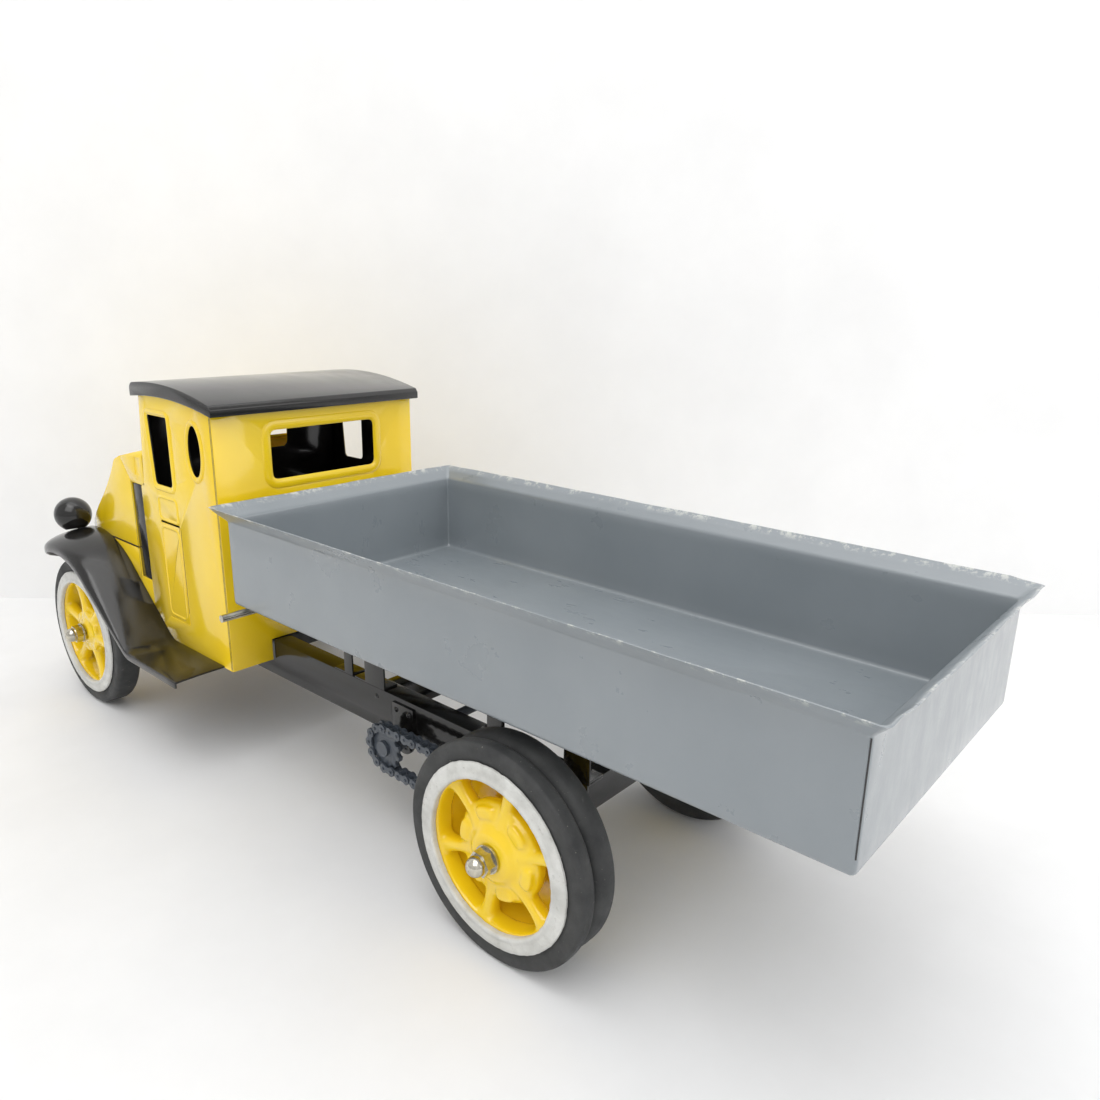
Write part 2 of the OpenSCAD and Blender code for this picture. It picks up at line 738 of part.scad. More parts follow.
// One station across the fender: the top surface outwards, round the lip and back underneath
across_n = 8;
function station(i) = let (y0 = cab_w + 0.2, y1 = edge_y(i), p = crest[i], d = edge_drop(i))
    concat(
        [for (j = [0:across_n]) let (u = j / across_n)
            [rear_x + p[0], y0 + (y1 - y0) * sin(u * 90), p[1] - d * (1 - cos(u * 90))]],
        [[rear_x + p[0], y1, p[1] - d - bead], [rear_x + p[0], y1 - sheet, p[1] - d - bead]],
        [for (j = [across_n:-1:0]) let (u = j / across_n)
            [rear_x + p[0], y0 + (y1 - sheet - y0) * sin(u * 90), p[1] - sheet - d * (1 - cos(u * 90))]]);

module fender() {
    n = len(crest);
    m = len(station(0));
    points = [for (i = [0:n - 1]) each station(i)];
    walls = [for (i = [0:n - 2]) for (j = [0:m - 1])
        each [[i * m + j, i * m + (j + 1) % m, (i + 1) * m + (j + 1) % m],
            [i * m + j, (i + 1) * m + (j + 1) % m, (i + 1) * m + j]]];
    half = across_n;
    function cap(i, flip) = [for (j = [0:half - 1]) each let (a = i * m + j, b = i * m + j + 1,
        c = i * m + m - 2 - j, d = i * m + m - 1 - j)
        flip ? [[a, b, c], [a, c, d]] : [[a, c, b], [a, d, c]]];
    function lip(i, flip) = let (a = i * m + half, b = a + 1, c = a + 2, d = a + 3)
        flip ? [[a, b, c], [a, c, d]] : [[a, c, b], [a, d, c]];
    color(BLACK) polyhedron(points = points,
        faces = concat(walls, cap(0, false), lip(0, false), cap(n - 1, true), lip(n - 1, true)));
}

module fender_left() fender();
module fender_right() mirror([0, 1, 0]) fender();

// ---- Headlights ----

light_ahead = 447;
light_y = 87;
light_z = 137;
light_r = 12.8;

// Round lamp with a flat front, on a short foot shaped to the fender's arch
module headlight() {
    color(BLACK) difference() {
        translate([rear_x + light_ahead, light_y, light_z]) rotate([0, 90, 0]) difference() {
            union() {
                intersection() {
                    sphere(r = light_r);
                    translate([0, 0, -light_r]) cylinder(r = light_r, h = light_r * 1.7);
                }
                translate([light_r - 2, 0, 0]) rotate([0, 90, 0]) cylinder(r = 4, h = 2.6);
            }
            translate([0, 0, light_r * 0.62]) cylinder(r = light_r * 0.62, h = light_r);
        }
        cross_rod(arch_ahead, axle_z, arch_r, 0, fender_w);
    }
}

module headlight_left() headlight();
module headlight_right() mirror([0, 1, 0]) headlight();

module headlight_lenses() {
    color(STEEL) both_sides() translate([rear_x + light_ahead + light_r * 0.62 + eps, light_y, light_z])
        rotate([0, 90, 0]) cylinder(r1 = light_r * 0.62 - 0.1, r2 = light_r * 0.4, h = 2.4);
}

// ---- Steering ----

column_lean = 40;
column_low = [330, 20, 95];
column_h = 82;

module on_column() {
    translate([rear_x + column_low[0], column_low[1], column_low[2]]) rotate([0, -column_lean, 0]) children();
}

module steering_column() {
    color(BLACK) on_column() {
        cylinder(r = 2, h = column_h);
        cylinder(r = 3.5, h = column_h - 7);
    }
}

module steering_wheel() {
    rim_r = 21;
    wire_r = 1.8;
    color(BLACK) on_column() translate([0, 0, column_h - 4]) difference() {
        union() {
            rotate_extrude() translate([rim_r, 0]) circle(r = wire_r);
            translate([0, 0, -2.6]) cylinder(r = 4.5, h = 5.2);
            for (i = [0:2]) rotate([0, 0, 90 + i * 120]) rotate([0, 90, 0]) cylinder(r = 1.5, h = rim_r);
        }
        translate([0, 0, -5]) cylinder(r = 2 + run_gap, h = 20);
    }
}

// ---- Bed ----

// One open tray of folded sheet; the section is drawn as a rectangle grown by g at height z
module bed_block(g, z0, z1) {
    translate([rear_x - bed_rear - g, -bed_w - g, z0])
        cube([bed_front + bed_rear + 2 * g, 2 * (bed_w + g), z1 - z0]);
}

// A sloping slab that flares one long edge of the rim, from a length along X
module flare_section() {
    rise = bed_z1 - bed_bend_z;
    polygon([[-sheet, 0], [0, 0], [rim_flare, rise - sheet], [rim_flare, rise], [rim_flare - sheet, rise],
        [-sheet, sheet * 0.6]]);
}

module flare(length) {
    rotate([90, 0, 90]) linear_extrude(length) flare_section();
}

module bed_tray() {
    x0 = rear_x - bed_rear;
    x1 = rear_x + bed_front;
    long = x1 - x0 + 2 * rim_flare;
    wide = 2 * (bed_w + rim_flare);
    color(GREY) {
        difference() {
            bed_block(0, bed_z0, bed_bend_z);
            bed_block(-sheet, bed_z0 + sheet, bed_z1);
        }
        intersection() {
            union() {
                translate([x0 - rim_flare, bed_w, bed_bend_z]) flare(long);
                translate([x1 + rim_flare, -bed_w, bed_bend_z]) rotate([0, 0, 180]) flare(long);
                translate([x1, bed_w + rim_flare, bed_bend_z]) rotate([0, 0, -90]) flare(wide);
                translate([x0, -bed_w - rim_flare, bed_bend_z]) rotate([0, 0, 90]) flare(wide);
            }
            flare_limit(x0, x1);
        }
    }
}

// The outside of the flared rim: a four sided funnel that trims the ends of the flares to mitres
module flare_limit(x0, x1) {
    rise = bed_z1 - bed_bend_z;
    far = 2 * (bed_z1 + bed_front);
    intersection() {
        translate([x0 - rim_flare - 1, 0, bed_bend_z]) rotate([90, 0, 90]) linear_extrude(far)
            polygon([[-bed_w, 0], [bed_w, 0], [bed_w + rim_flare, rise - sheet], [bed_w + rim_flare, rise],
                [-bed_w - rim_flare, rise], [-bed_w - rim_flare, rise - sheet]]);
        translate([0, bed_w + rim_flare + 1, bed_bend_z]) rotate([90, 0, 0]) linear_extrude(far)
            polygon([[x0, 0], [x1, 0], [x1 + rim_flare, rise - sheet], [x1 + rim_flare, rise],
                [x0 - rim_flare, rise], [x0 - rim_flare, rise - sheet]]);
    }
}

module bed_hinge_lugs() {
    lug_r = 7;
    color(GREY) both_sides() difference() {
        union() {
            cross_rod(tip_ahead, tip_z, lug_r, lug_y - 1.6, lug_y);
            block([tip_ahead - lug_r, lug_y - 1.6, tip_z], [tip_ahead + lug_r, lug_y, bed_z0 - eps]);
            block([tip_ahead - lug_r, lug_y - 12, bed_z0 - 1.6], [tip_ahead + lug_r, lug_y, bed_z0 - eps]);
        }
        cross_rod(tip_ahead, tip_z, tip_r + run_gap, lug_y - 3, lug_y + 1);
    }
}

rod_ahead = 209;
rod_r = 2.2;
rod_y = 101;
rod_z = bed_z0 - rod_r - 0.2;

module bed_lift_rod() color(STEEL) cross_rod(rod_ahead, rod_z, rod_r, -rod_y, rod_y);

// Saddle clips that hold the rod under the bed floor
module bed_rod_clips() {
    half = 5;
    wide = 8;
    color(GREY) for (y = [-60, 52]) difference() {
        block([rod_ahead - half, y, rod_z - rod_r - 1.4], [rod_ahead + half, y + wide, bed_z0 - eps]);
        cross_rod(rod_ahead, rod_z, rod_r + run_gap, y - 1, y + wide + 1);
    }
}

frame_rail_left();
frame_rail_right();
frame_cross_members();
body_rests();
tip_brackets();
tip_pin();
rear_axle();
front_axle();
rear_axle_hangers();
front_axle_hangers();
axle_spacers();
jackshaft();
jackshaft_hangers();
frame_rivets();
drive_chain_left();
drive_chain_right();
cab_left_side();
cab_right_side();
cab_rear_wall();
cab_front_wall();
cab_floor();
cab_roof();
cowl();
side_grilles();
hood();
hood_sills();
fender_left();
fender_right();
headlight_left();
headlight_right();
headlight_lenses();
steering_column();
steering_wheel();
axle_nuts();
axle_washers();
front_wheel_left();
front_wheel_right();
front_trim_left();
front_trim_right();
front_tyre_left();
front_tyre_right();
rear_wheel_left();
rear_wheel_right();
rear_inner_rim_left();
rear_inner_rim_right();
rear_trim_left();
rear_trim_right();
rear_outer_tyre_left();
rear_outer_tyre_right();
rear_inner_tyre_left();
rear_inner_tyre_right();
rear_sprocket_left();
rear_sprocket_right();
jack_sprocket_left();
jack_sprocket_right();
bed_tray();
bed_hinge_lugs();
bed_lift_rod();
bed_rod_clips();
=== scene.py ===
"""Looks of the push along truck: enamelled sheet metal, cast wheels, rubber tyres and a roller chain."""

import json
import math

import bmesh
import bpy
from mathutils import Matrix, Vector, noise

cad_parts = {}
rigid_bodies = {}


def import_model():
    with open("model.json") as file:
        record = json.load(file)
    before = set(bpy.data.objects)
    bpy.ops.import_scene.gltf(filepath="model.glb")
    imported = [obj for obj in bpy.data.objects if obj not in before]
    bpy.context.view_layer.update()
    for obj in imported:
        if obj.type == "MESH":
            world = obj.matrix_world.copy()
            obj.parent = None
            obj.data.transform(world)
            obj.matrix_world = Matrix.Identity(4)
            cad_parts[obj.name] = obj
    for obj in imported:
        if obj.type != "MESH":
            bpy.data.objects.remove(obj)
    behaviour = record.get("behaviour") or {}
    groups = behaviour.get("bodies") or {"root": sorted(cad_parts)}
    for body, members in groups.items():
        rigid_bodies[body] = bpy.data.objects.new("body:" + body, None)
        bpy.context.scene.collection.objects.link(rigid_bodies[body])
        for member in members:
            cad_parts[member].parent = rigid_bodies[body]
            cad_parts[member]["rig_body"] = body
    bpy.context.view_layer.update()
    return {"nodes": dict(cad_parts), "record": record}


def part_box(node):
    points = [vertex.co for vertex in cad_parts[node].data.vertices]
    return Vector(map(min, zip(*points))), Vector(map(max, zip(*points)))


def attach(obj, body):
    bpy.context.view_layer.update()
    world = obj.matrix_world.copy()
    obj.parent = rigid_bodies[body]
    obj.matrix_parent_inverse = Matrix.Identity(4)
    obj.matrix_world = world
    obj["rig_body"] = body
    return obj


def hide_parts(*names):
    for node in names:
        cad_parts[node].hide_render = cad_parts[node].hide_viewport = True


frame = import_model()
NODES = frame["nodes"]
MM = 0.001
SIDES = ((1, "left"), (-1, "right"))


def limits(node):
    """Lowest and highest corner of a CAD node in millimetres."""
    low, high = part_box(node)
    return Vector(low) / MM, Vector(high) / MM


def wheel_centre(node):
    low, high = limits(node)
    return (low + high) / 2


REAR = wheel_centre("rear_outer_tyre_left")
FRONT = wheel_centre("front_tyre_left")
TYRE_R = (limits("rear_outer_tyre_left")[1].z - limits("rear_outer_tyre_left")[0].z) / 2


# ---- Camera, lights and floor ----

def add_camera():
    """A camera behind and left of the truck; its place is measured in tyre radii from the rear axle."""
    yaw, pitch, roll = math.radians(-49.14), math.radians(-16.24), math.radians(0.92)
    place = Vector((-4.42, 6.085, 5.471)) * TYRE_R
    forward = Vector((math.cos(pitch) * math.cos(yaw), math.cos(pitch) * math.sin(yaw), math.sin(pitch)))
    right = forward.cross(Vector((0, 0, 1))).normalized()
    up = right.cross(forward)
    level, tilt = math.cos(roll), math.sin(roll)
    right, up = right * level + up * tilt, up * level - right * tilt
    data = bpy.data.cameras.new("camera")
    data.sensor_width = 36.0
    data.lens = 28.62
    data.clip_start = 0.01
    camera = bpy.data.objects.new("camera", data)
    axes = Matrix((right, up, -forward)).transposed().to_4x4()
    camera.matrix_world = Matrix.Translation((Vector((REAR.x, 0, 0)) + place) * MM) @ axes
    bpy.context.scene.collection.objects.link(camera)
    bpy.context.scene.camera = camera
    return forward, place


def area_light(name, place, target, size, watts, colour=(1, 1, 1)):
    data = bpy.data.lights.new(name, "AREA")
    data.shape = "RECTANGLE"
    data.size, data.size_y = size
    data.energy = watts
    data.color = colour
    light = bpy.data.objects.new(name, data)
    light.location = place
    light.rotation_euler = (Vector(target) - Vector(place)).to_track_quat("-Z", "Y").to_euler()
    bpy.context.scene.collection.objects.link(light)
    return light


def node_material(name):
    """A new material with its node tree and its shader."""
    material = bpy.data.materials.new(name)
    material.use_nodes = True
    tree = material.node_tree
    return material, tree, tree.nodes["Principled BSDF"]


def noise_fac(tree, scale, detail=4.0, roughness=0.5, stretch=None):
    """A noise texture on object coordinates, in cycles per metre."""
    coord = tree.nodes.new("ShaderNodeTexCoord")
    texture = tree.nodes.new("ShaderNodeTexNoise")
    texture.inputs["Scale"].default_value = scale
    texture.inputs["Detail"].default_value = detail
    texture.inputs["Roughness"].default_value = roughness
    source = coord.outputs["Object"]
    if stretch:
        mapping = tree.nodes.new("ShaderNodeMapping")
        mapping.inputs["Scale"].default_value = stretch
        tree.links.new(source, mapping.inputs["Vector"])
        source = mapping.outputs["Vector"]
    tree.links.new(source, texture.inputs["Vector"])
    return texture.outputs["Fac"]


def ramp(tree, source, stops):
    """A colour ramp through (position, colour) stops; a number stands for a grey."""
    node = tree.nodes.new("ShaderNodeValToRGB")
    while len(node.color_ramp.elements) < len(stops):
        node.color_ramp.elements.new(0.5)
    for element, (position, colour) in zip(node.color_ramp.elements, stops):
        element.position = position
        grey = not isinstance(colour, tuple)
        element.color = (colour, colour, colour, 1) if grey else (*colour, 1)
    tree.links.new(source, node.inputs["Fac"])
    return node.outputs["Color"]


def mix(tree, factor, first, second):
    """Mixes two colours; each is a socket or a colour."""
    node = tree.nodes.new("ShaderNodeMix")
    node.data_type = "RGBA"
    for socket, value in ((node.inputs[0], factor), (node.inputs[6], first), (node.inputs[7], second)):
        if isinstance(value, bpy.types.NodeSocket):
            tree.links.new(value, socket)
        elif isinstance(value, tuple):
            socket.default_value = (*value, 1)
        else:
            socket.default_value = value
    return node.outputs[2]


def bump(tree, shader, layers):
    """Chains bump nodes from (height socket, distance in metres, strength) layers into the normal."""
    previous = None
    for height, distance, strength in layers:
        node = tree.nodes.new("ShaderNodeBump")
        node.inputs["Distance"].default_value = distance
        node.inputs["Strength"].default_value = strength
        tree.links.new(height, node.inputs["Height"])
        if previous:
            tree.links.new(previous, node.inputs["Normal"])
        previous = node.outputs["Normal"]
    tree.links.new(previous, shader.inputs["Normal"])


def edge_mask(tree, radius, low, high):
    """White where the surface turns a corner within radius, for worn edges."""
    bevel = tree.nodes.new("ShaderNodeBevel")
    bevel.samples = 4
    bevel.inputs["Radius"].default_value = radius
    geometry = tree.nodes.new("ShaderNodeNewGeometry")
    dot = tree.nodes.new("ShaderNodeVectorMath")
    dot.operation = "DOT_PRODUCT"
    tree.links.new(bevel.outputs["Normal"], dot.inputs[0])
    tree.links.new(geometry.outputs["Normal"], dot.inputs[1])
    turned = tree.nodes.new("ShaderNodeMapRange")
    turned.inputs["From Min"].default_value = high
    turned.inputs["From Max"].default_value = low
    tree.links.new(dot.outputs["Value"], turned.inputs["Value"])
    return turned.outputs["Result"]


def times(tree, first, second):
    """Multiplies two sockets or numbers."""
    node = tree.nodes.new("ShaderNodeMath")
    node.operation = "MULTIPLY"
    for socket, value in ((node.inputs[0], first), (node.inputs[1], second)):
        if isinstance(value, bpy.types.NodeSocket):
            tree.links.new(value, socket)
        else:
            socket.default_value = value
    return node.outputs[0]


# ---- Materials ----

def above(tree, low, high):
    """Rises from black to white between two heights in millimetres."""
    coord = tree.nodes.new("ShaderNodeTexCoord")
    split = tree.nodes.new("ShaderNodeSeparateXYZ")
    tree.links.new(coord.outputs["Object"], split.inputs["Vector"])
    rise = tree.nodes.new("ShaderNodeMapRange")
    rise.inputs["From Min"].default_value = low * MM
    rise.inputs["From Max"].default_value = high * MM
    tree.links.new(split.outputs["Z"], rise.inputs["Value"])
    return rise.outputs["Result"]


def enamel(name, colour, shade, rough, chip=None, chip_z=None, peel=0.35, coat=0.6, coat_rough=0.08,
           wave=0.15):
    """Sprayed gloss enamel: slow colour drift, orange peel, fine specks and a rim worn to the chip colour."""
    material, tree, shader = node_material(name)
    drift = ramp(tree, noise_fac(tree, 14, 5), [(0.35, shade), (0.7, colour)])
    speck = ramp(tree, noise_fac(tree, 900, 2), [(0.7, 0.0), (0.78, 0.12)])
    base = mix(tree, times(tree, speck, 0.35), drift, tuple(0.55 * c for c in colour))
    if chip:
        worn = ramp(tree, noise_fac(tree, 190, 8, 0.75), [(0.52, 0.0), (0.6, 1.0)])
        base = mix(tree, times(tree, above(tree, *chip_z), worn), base, chip)
    tree.links.new(base, shader.inputs["Base Color"])
    smudge = noise_fac(tree, 38, 6, 0.6, (1, 2.5, 1))
    smear = ramp(tree, smudge, [(0.3, rough * 0.75), (0.75, rough * 1.5)])
    tree.links.new(smear, shader.inputs["Roughness"])
    shader.inputs["Coat Weight"].default_value = coat
    shader.inputs["Coat Roughness"].default_value = coat_rough
    bump(tree, shader, [(noise_fac(tree, 22, 2), 0.0007, wave),
                        (noise_fac(tree, 420, 2), 0.00012, peel),
                        (noise_fac(tree, 1300, 3, 0.6), 0.00004, peel)])
    return material


def rubber(name):
    """Old solid rubber: dusty grey-black with scuffs, fine pitting and pale crumbs."""
    material, tree, shader = node_material(name)
    dark, light = (0.030, 0.031, 0.032), (0.068, 0.069, 0.068)
    cloud = ramp(tree, noise_fac(tree, 55, 6, 0.6), [(0.3, dark), (0.72, light)])
    dust = ramp(tree, noise_fac(tree, 240, 8, 0.75), [(0.6, 0.0), (0.74, 1.0)])
    base = mix(tree, times(tree, dust, 0.55), cloud, (0.17, 0.17, 0.16))
    flake = ramp(tree, noise_fac(tree, 620, 2), [(0.74, 0.0), (0.77, 1.0)])
    crumbs = mix(tree, times(tree, flake, 0.6), base, (0.36, 0.34, 0.27))
    tree.links.new(crumbs, shader.inputs["Base Color"])
    dull = ramp(tree, noise_fac(tree, 120, 5), [(0.3, 0.5), (0.7, 0.78)])
    tree.links.new(dull, shader.inputs["Roughness"])
    shader.inputs["Specular IOR Level"].default_value = 0.35
    bump(tree, shader, [(noise_fac(tree, 90, 4), 0.0006, 0.3),
                        (noise_fac(tree, 900, 6, 0.7), 0.00016, 0.7),
                        (flake, 0.0001, 0.5)])
    return material


def trim_paint(name):
    """Hand-brushed off-white paint over steel, thin and scraped along its edges."""
    material, tree, shader = node_material(name)
    thin, thick = (0.50, 0.50, 0.47), (0.74, 0.74, 0.71)
    brushed = ramp(tree, noise_fac(tree, 70, 7, 0.65), [(0.3, thin), (0.7, thick)])
    scrape = ramp(tree, noise_fac(tree, 330, 6, 0.75), [(0.58, 0.0), (0.68, 1.0)])
    worn = mix(tree, times(tree, scrape, 0.5), brushed, (0.30, 0.29, 0.25))
    edge = times(tree, edge_mask(tree, 0.0008, 0.8, 0.98), scrape)
    tree.links.new(mix(tree, edge, worn, (0.14, 0.13, 0.11)), shader.inputs["Base Color"])
    sheen = ramp(tree, noise_fac(tree, 150, 5), [(0.3, 0.28), (0.7, 0.5)])
    tree.links.new(sheen, shader.inputs["Roughness"])
    bump(tree, shader, [(noise_fac(tree, 160, 5, 0.6), 0.0003, 0.5), (scrape, 0.00006, 0.5)])
    return material


def plated(name, colour, rough):
    """Nickel plate with faint tarnish and polishing lines."""
    material, tree, shader = node_material(name)
    dim = tuple(0.55 * c for c in colour)
    tarnish = ramp(tree, noise_fac(tree, 180, 6, 0.6), [(0.35, dim), (0.65, colour)])
    tree.links.new(tarnish, shader.inputs["Base Color"])
    shader.inputs["Metallic"].default_value = 1.0
    polish = ramp(tree, noise_fac(tree, 500, 4), [(0.3, rough * 0.7), (0.7, rough * 1.8)])
    tree.links.new(polish, shader.inputs["Roughness"])
    bump(tree, shader, [(noise_fac(tree, 700, 3), 0.00005, 0.35)])
    return material


RIM_TOP = limits("bed_tray")[1].z
MATERIALS = {
    "yellow_enamel": enamel("yellow_enamel", (0.97, 0.70, 0.014), (0.93, 0.63, 0.010), 0.15),
    "black_enamel": enamel("black_enamel", (0.016, 0.015, 0.014), (0.009, 0.0085, 0.008), 0.15, coat=0.2),
    "bed_enamel": enamel("bed_enamel", (0.245, 0.272, 0.292), (0.215, 0.242, 0.262), 0.32,
                         chip=(0.52, 0.53, 0.50), chip_z=(RIM_TOP - 3.5, RIM_TOP - 0.5),
                         coat=0.85, coat_rough=0.2, wave=0.3),
    "trim_paint": trim_paint("trim_paint"),
    "tyre_rubber": rubber("tyre_rubber"),
    "bright_steel": plated("bright_steel", (0.72, 0.68, 0.58), 0.14),
    "chain_steel": enamel("chain_steel", (0.095, 0.112, 0.135), (0.05, 0.06, 0.075), 0.36,
                          coat=0.2, peel=0.1, wave=0.0),
    "lens_silver": plated("lens_silver", (0.85, 0.85, 0.85), 0.08),
}


def material_of(node):
    for row in frame["record"]["subparts"]:
        if row["node"] == node:
            return row["material_slot"]
    raise KeyError(node)


def dress(obj, slot):
    obj.data.materials.clear()
    obj.data.materials.append(MATERIALS[slot])


for node_name, node_obj in NODES.items():
    dress(node_obj, material_of(node_name))


# ---- Mesh helpers ----

def new_piece(name, mesh, body, slot, replaced=()):
    """Links a finished mesh as a piece that rides on a body and stands for CAD nodes."""
    obj = bpy.data.objects.new(name, mesh)
    bpy.context.scene.collection.objects.link(obj)
    dress(obj, slot)
    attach(obj, body)
    if replaced:
        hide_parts(*replaced)
    return obj


def apply_modifiers(obj):
    depsgraph = bpy.context.evaluated_depsgraph_get()
    baked = bpy.data.meshes.new_from_object(obj.evaluated_get(depsgraph))
    obj.modifiers.clear()
    obj.data = baked


def smooth_by_angle(mesh, degrees):
    """Smooth shading with edges sharper than the angle kept crisp."""
    work = bmesh.new()
    work.from_mesh(mesh)
    limit = math.radians(degrees)
    for face in work.faces:
        face.smooth = True
    for edge in work.edges:
        edge.smooth = len(edge.link_faces) == 2 and edge.calc_face_angle(0) < limit
    work.to_mesh(mesh)
    work.free()


def soften(node, width, segments=2):
    """A copy of a CAD node that replaces it, with sharp edges rounded over a width in millimetres."""
    source = NODES[node]
    mesh = source.data.copy()
    work = bmesh.new()
    work.from_mesh(mesh)
    bmesh.ops.remove_doubles(work, verts=work.verts, dist=1e-6)
    bmesh.ops.dissolve_limit(work, angle_limit=math.radians(1.0), verts=work.verts, edges=work.edges)
    work.to_mesh(mesh)
    work.free()
    obj = new_piece(node + "_skin", mesh, source["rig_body"], material_of(node), [node])
    edge = obj.modifiers.new("edge", "BEVEL")
    edge.width = width * MM
    edge.segments = segments
    edge.limit_method = "ANGLE"
    edge.angle_limit = math.radians(32)
    edge.use_clamp_overlap = True
    apply_modifiers(obj)
    smooth_by_angle(obj.data, 40)
    dress(obj, material_of(node))
    return obj


ROUNDED = {
    "frame_rail_left": 0.35, "frame_rail_right": 0.35, "frame_cross_members": 0.3, "body_rests": 0.35,
    "tip_brackets": 0.3, "side_grilles": 0.3, "hood_sills": 0.35,
    "rear_axle_hangers": 0.3, "front_axle_hangers": 0.3, "jackshaft_hangers": 0.3,
    "bed_hinge_lugs": 0.3, "bed_rod_clips": 0.3, "drive_chain_left": 0.14, "drive_chain_right": 0.14,
    "rear_sprocket_left": 0.2, "rear_sprocket_right": 0.2,
    "jack_sprocket_left": 0.2, "jack_sprocket_right": 0.2,
}
for node_name, edge_width in ROUNDED.items():
    soften(node_name, edge_width)


def add_slot(obj, slot):
    """A second material on a piece; returns its index."""
    obj.data.materials.append(MATERIALS[slot])
    return len(obj.data.materials) - 1


def blacken_inside(obj, inside):
    """Gives the faces for which inside(centre, normal) holds the black enamel of the cab's interior."""
    index = add_slot(obj, "black_enamel")
    for face in obj.data.polygons:
        if inside(face.center / MM, face.normal):
            face.material_index = index


CAB_Y = limits("cab_left_side")[1].y
CAB_REAR_X = limits("cab_rear_wall")[0].x
for node_name in ("cab_left_side", "cab_right_side"):
    panel = soften(node_name, 0.35)
    blacken_inside(panel, lambda c, n: abs(c.y) < CAB_Y - 0.25 and n.y * c.y <= 1e-3)
rear_panel = soften("cab_rear_wall", 0.4)
blacken_inside(rear_panel, lambda c, n: c.x > CAB_REAR_X + 0.3 and n.x > -0.3)
front_panel = soften("cab_front_wall", 0.35)
blacken_inside(front_panel, lambda c, n: n.x < -0.2)
for node_name in ("cab_roof", "cowl", "hood"):
    soften(node_name, 0.5, 3)


# ---- Sheet metal built as swept ridges ----

def ridge(name, path, normal, width, height, slot, body, closed=True, sides=8):
    """A raised rounded bead of pressed metal along a path of points in millimetres on a flat panel."""
    count = len(path)
    normal = Vector(normal).normalized()
    verts, faces = [], []
    for i, point in enumerate(path):
        before = path[i - 1] if closed or i else path[i]
        after = path[(i + 1) % count] if closed or i < count - 1 else path[i]
        along = (Vector(after) - Vector(before)).normalized()
        across = normal.cross(along)
        for k in range(sides + 1):
            angle = math.pi * k / sides
            verts.append((Vector(point) + across * (math.cos(angle) * width / 2)
                          + normal * (math.sin(angle) ** 1.5 * height - 0.05)) * MM)
    step = sides + 1
    for i in range(count if closed else count - 1):
        j = (i + 1) % count
        for k in range(sides):
            faces.append((i * step + k, j * step + k, j * step + k + 1, i * step + k + 1))
    mesh = bpy.data.meshes.new(name)
    mesh.from_pydata(verts, [], faces)
    for face in mesh.polygons:
        face.use_smooth = True
    return new_piece(name, mesh, body, slot)


def in_plane(points, y):
    """Places (ahead of the rear axle, height) points in the upright plane at y."""
    return [ahead_of_axle(ahead, y, z) for ahead, z in points]


def rounded_loop(corners, radius, steps=6):
    """A closed loop of points through corners in a plane, with each corner rounded."""
    loop = []
    count = len(corners)
    for i, corner in enumerate(corners):
        corner = Vector(corner)
        back = (Vector(corners[i - 1]) - corner)
        ahead = (Vector(corners[(i + 1) % count]) - corner)
        reach = min(radius, back.length * 0.45, ahead.length * 0.45)
        a, b = corner + back.normalized() * reach, corner + ahead.normalized() * reach
        for k in range(steps + 1):
            t = k / steps
            loop.append(a * (1 - t) ** 2 + corner * 2 * t * (1 - t) + b * t ** 2)
    return loop


def ahead_of_axle(distance, y, z):
    return Vector((REAR.x + distance, y, z))


WINDOW_RAISE = 0.9
WINDOW_BEAD = 3.4
DOOR_WINDOW = [(301.9, 225.0), (332.6, 225.0), (329.5, 174.5), (301.9, 174.5)]
UPPER_PANEL = [(301.5, 153.5), (326.5, 153.5), (326.5, 169), (301.5, 169)]
LOWER_PANEL = [(302.5, 86), (325.5, 86), (325.5, 148.5), (302.5, 148.5)]
OVAL_AHEAD, OVAL_Z = 271, 205
OVAL_HALF_LENGTH, OVAL_HALF_HEIGHT = 9.6, 18.2
OVAL_STEPS = 48
OVAL_TURNS = [math.tau * k / OVAL_STEPS for k in range(OVAL_STEPS)]
OVAL = [(OVAL_AHEAD + OVAL_HALF_LENGTH * math.cos(turn), OVAL_Z + OVAL_HALF_HEIGHT * math.sin(turn))
        for turn in OVAL_TURNS]
# name, corners, corner radius, bead width, bead height
DOOR_BEADS = (("door_window_rim_", DOOR_WINDOW, 5, WINDOW_BEAD, WINDOW_RAISE),
              ("oval_window_rim_", OVAL, 0, WINDOW_BEAD, WINDOW_RAISE),
              ("door_upper_panel_", UPPER_PANEL, 4, 2.4, 0.6),
              ("door_lower_panel_", LOWER_PANEL, 5, 2.2, 0.5))
for side, word in SIDES:
    for name, outline, corner_r, width, height in DOOR_BEADS:
        path = in_plane(outline, side * CAB_Y)
        if corner_r:
            path = rounded_loop(path, corner_r)
        ridge(name + word, path, (0, side, 0), width, height, "yellow_enamel", "chassis")
REAR_WINDOW = [(-45.6, 182.4), (40.6, 182.4), (40.6, 220.1), (-45.6, 220.1)]
rear_frame = [Vector((CAB_REAR_X, y, z)) for y, z in REAR_WINDOW]
ridge("rear_window_rim", rounded_loop(rear_frame, 8), (-1, 0, 0), 6.4, 1.0, "yellow_enamel", "chassis")


def seam_shadow(name, path, normal, body, width=0.75):
    """A black strip along the line where two sheets of metal meet: painted shade standing for the shadow in
    the seam's groove.
    """
    points = [Vector(point) for point in path]
    ridge(name, points, normal, width, 0.09, "black_enamel", body, closed=False, sides=4)


# painted shade: black strips along the cab's seams stand for the shadow in their grooves
SEAM_SHADOW_PROUD = 0.02
